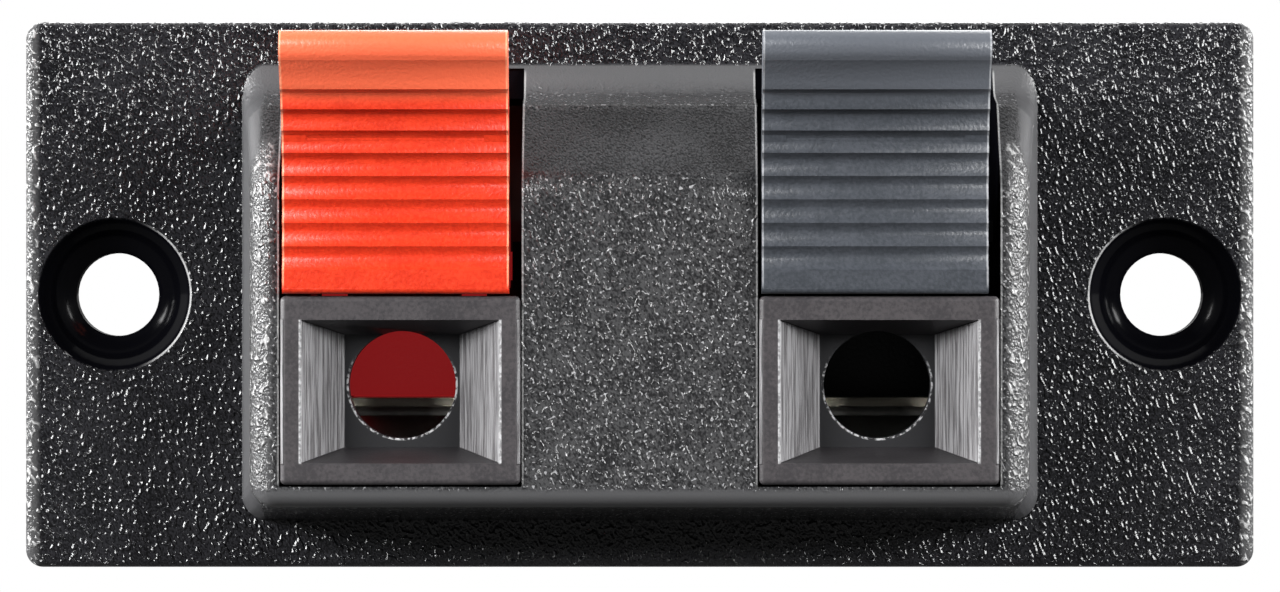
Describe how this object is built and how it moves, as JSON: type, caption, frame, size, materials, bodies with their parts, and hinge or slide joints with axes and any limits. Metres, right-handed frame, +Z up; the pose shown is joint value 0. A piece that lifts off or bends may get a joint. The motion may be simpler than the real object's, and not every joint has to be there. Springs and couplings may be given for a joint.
{
  "type": "speaker terminal plate",
  "caption": "Rectangular moulded panel plate with a raised housing, spring push levers above round wire sockets, countersunk screw holes and rear solder tags.",
  "frame": {"origin": "middle of the plate's rear face, halfway between the two screw holes", "axes": "+X to the right along the long side, +Z up towards the lever tips, the front faces -Y and the rear shell and tags point to +Y"},
  "size_m": [0.057, 0.0282, 0.0252],
  "materials": {
    "plate_plastic": "black, coarse spark-eroded texture",
    "block_plastic": "black, smooth satin",
    "red_plastic": "red, satin",
    "grey_plastic": "dark grey, satin",
    "plated_brass": "tin-plated brass strip",
    "spring_strip": "bright spring steel strip"
  },
  "bodies": {
    "housing": {"face_plate": "plate_plastic", "wire_block_left": "block_plastic", "wire_block_right": "block_plastic", "contact_bar_left": "plated_brass", "contact_bar_right": "plated_brass", "clamp_spring_left": "spring_strip", "clamp_spring_right": "spring_strip"},
    "lever_left": {"lever_left": "red_plastic"},
    "lever_right": {"lever_right": "grey_plastic"}
  },
  "joints": [
    {"name": "lever_left_press", "type": "hinge", "parent": "housing", "child": "lever_left", "pos_m": [-0.01084, -0.007, 0.0013], "axis": [-1, 0, 0], "range_deg": [0, 28], "stiffness_Nm_per_rad": 0.03, "springref_deg": -22.92, "deforming": ["clamp_spring_left"]},
    {"name": "lever_right_press", "type": "hinge", "parent": "housing", "child": "lever_right", "pos_m": [0.01084, -0.007, 0.0013], "axis": [-1, 0, 0], "range_deg": [0, 28], "stiffness_Nm_per_rad": 0.03, "springref_deg": -22.92, "deforming": ["clamp_spring_right"]}
  ]
}
